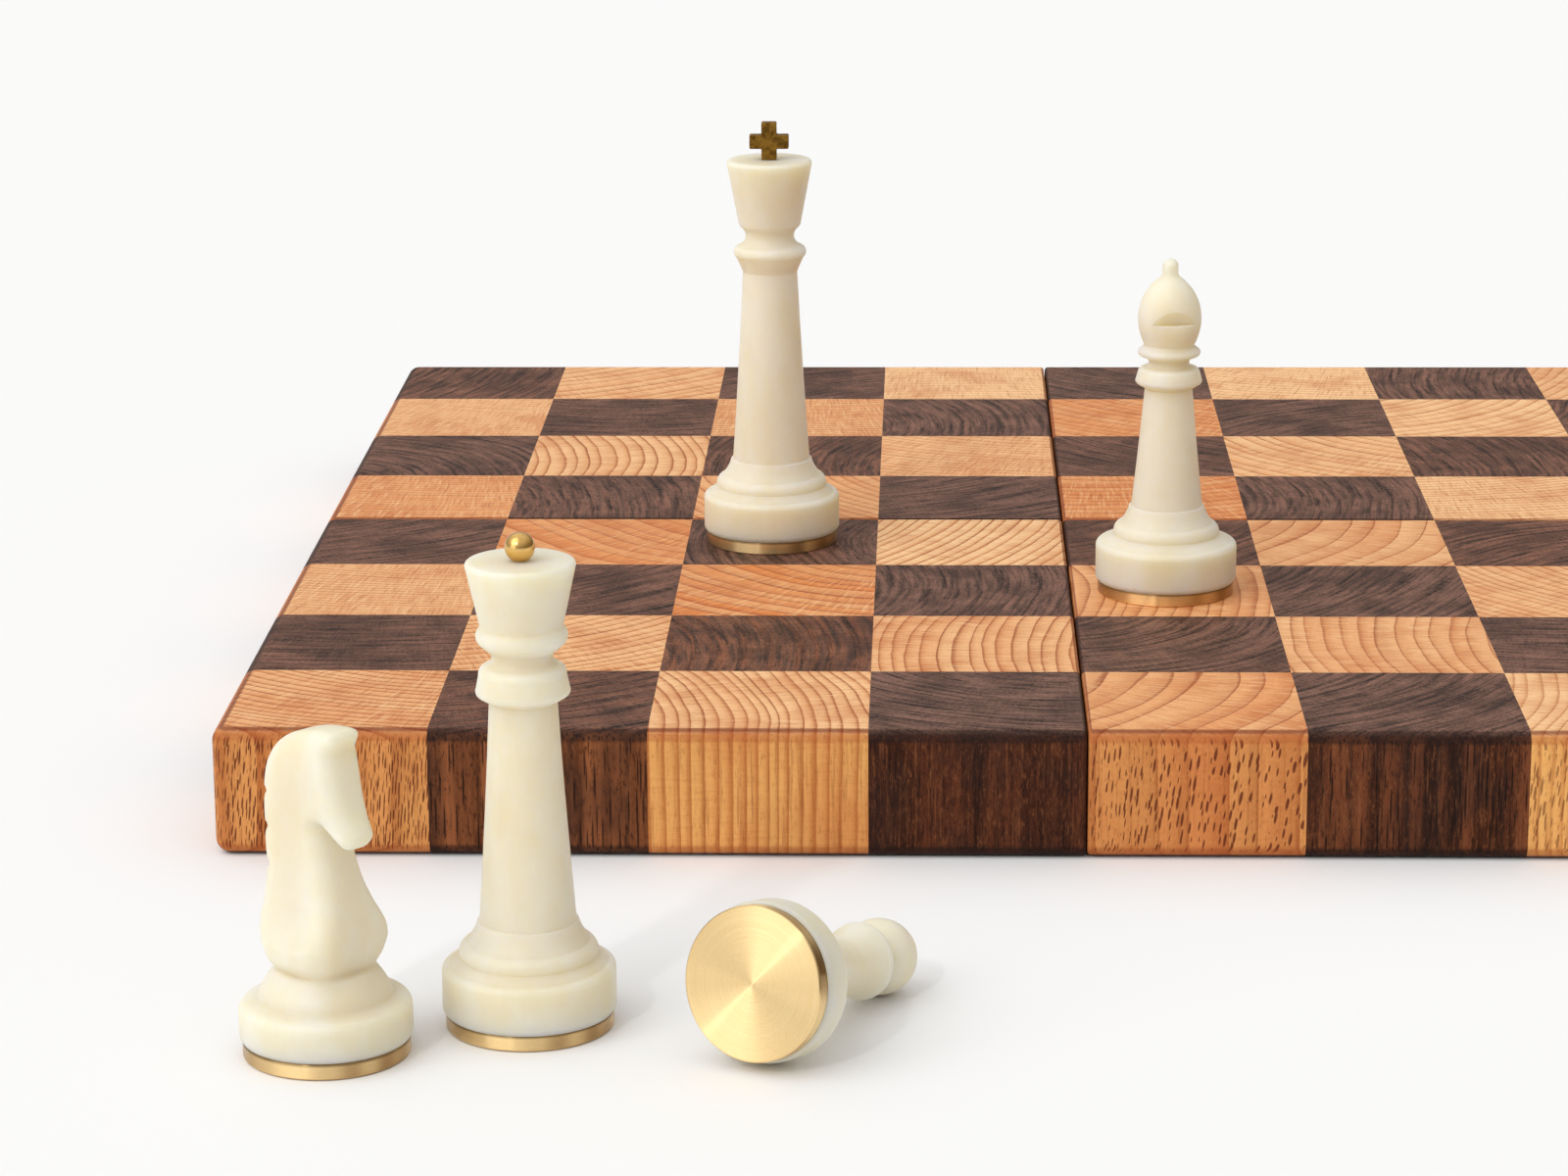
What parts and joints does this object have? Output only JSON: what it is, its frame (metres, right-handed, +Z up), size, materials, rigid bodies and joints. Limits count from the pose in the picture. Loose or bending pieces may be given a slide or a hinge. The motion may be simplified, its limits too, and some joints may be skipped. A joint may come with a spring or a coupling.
{
  "type": "chess set with board",
  "caption": "End-grain beech and walnut chess board in quarter panels, with ivory resin chessmen on brass bases standing on and beside it.",
  "frame": {"origin": "centre of the whole set's footprint on the table top", "axes": "+Z up from the table, +X to the player's right along the board's front edge, +Y away from the player"},
  "size_m": [0.3578, 0.4846, 0.1269],
  "materials": {
    "beech": "oiled",
    "walnut": "oiled",
    "resin": "satin",
    "brass": "turned and polished",
    "steel": "plain"
  },
  "bodies": {
    "front_left_quarter": {"front_left_magnets": "steel", "front_left_row_1_beech": "beech", "front_left_row_1_walnut": "walnut", "front_left_row_2_beech": "beech", "front_left_row_2_walnut": "walnut", "front_left_row_3_beech": "beech", "front_left_row_3_walnut": "walnut", "front_left_row_4_beech": "beech", "front_left_row_4_walnut": "walnut"},
    "front_right_quarter": {"front_right_magnets": "steel", "front_right_row_1_beech": "beech", "front_right_row_1_walnut": "walnut", "front_right_row_2_beech": "beech", "front_right_row_2_walnut": "walnut", "front_right_row_3_beech": "beech", "front_right_row_3_walnut": "walnut", "front_right_row_4_beech": "beech", "front_right_row_4_walnut": "walnut"},
    "back_left_quarter": {"back_left_magnets": "steel", "back_left_row_1_beech": "beech", "back_left_row_1_walnut": "walnut", "back_left_row_2_beech": "beech", "back_left_row_2_walnut": "walnut", "back_left_row_3_beech": "beech", "back_left_row_3_walnut": "walnut", "back_left_row_4_beech": "beech", "back_left_row_4_walnut": "walnut"},
    "back_right_quarter": {"back_right_magnets": "steel", "back_right_row_1_beech": "beech", "back_right_row_1_walnut": "walnut", "back_right_row_2_beech": "beech", "back_right_row_2_walnut": "walnut", "back_right_row_3_beech": "beech", "back_right_row_3_walnut": "walnut", "back_right_row_4_beech": "beech", "back_right_row_4_walnut": "walnut"},
    "king": {"king_body": "resin", "king_brass_base": "brass", "king_cross": "brass", "king_stud": "steel"},
    "queen": {"queen_ball": "brass", "queen_ball_pin": "steel", "queen_body": "resin", "queen_brass_base": "brass", "queen_stud": "steel"},
    "bishop": {"bishop_body": "resin", "bishop_brass_base": "brass", "bishop_stud": "steel"},
    "knight": {"knight_body": "resin", "knight_brass_base": "brass", "knight_stud": "steel"},
    "pawn": {"pawn_body": "resin", "pawn_brass_base": "brass", "pawn_stud": "steel"}
  },
  "joints": [
    {"name": "front_right_slide", "type": "slide", "parent": "front_left_quarter", "child": "front_right_quarter", "axis": [1, 0, 0], "range_m": [0, 0.06]},
    {"name": "back_left_slide", "type": "slide", "parent": "front_left_quarter", "child": "back_left_quarter", "axis": [0, 1, 0], "range_m": [0, 0.06]},
    {"name": "back_right_slide", "type": "slide", "parent": "back_left_quarter", "child": "back_right_quarter", "axis": [1, 0, 0], "range_m": [0, 0.06]},
    {"name": "king_lift", "type": "slide", "parent": "front_left_quarter", "child": "king", "axis": [0, 0, 1], "range_m": [0, 0.12]},
    {"name": "bishop_lift", "type": "slide", "parent": "front_right_quarter", "child": "bishop", "axis": [0, 0, 1], "range_m": [0, 0.12]},
    {"name": "queen_lift", "type": "slide", "parent": "front_left_quarter", "child": "queen", "axis": [0, 0, 1], "range_m": [0, 0.12]},
    {"name": "knight_lift", "type": "slide", "parent": "front_left_quarter", "child": "knight", "axis": [0, 0, 1], "range_m": [0, 0.12]},
    {"name": "pawn_lift", "type": "slide", "parent": "front_left_quarter", "child": "pawn", "axis": [0, 0, 1], "range_m": [0, 0.12]}
  ]
}
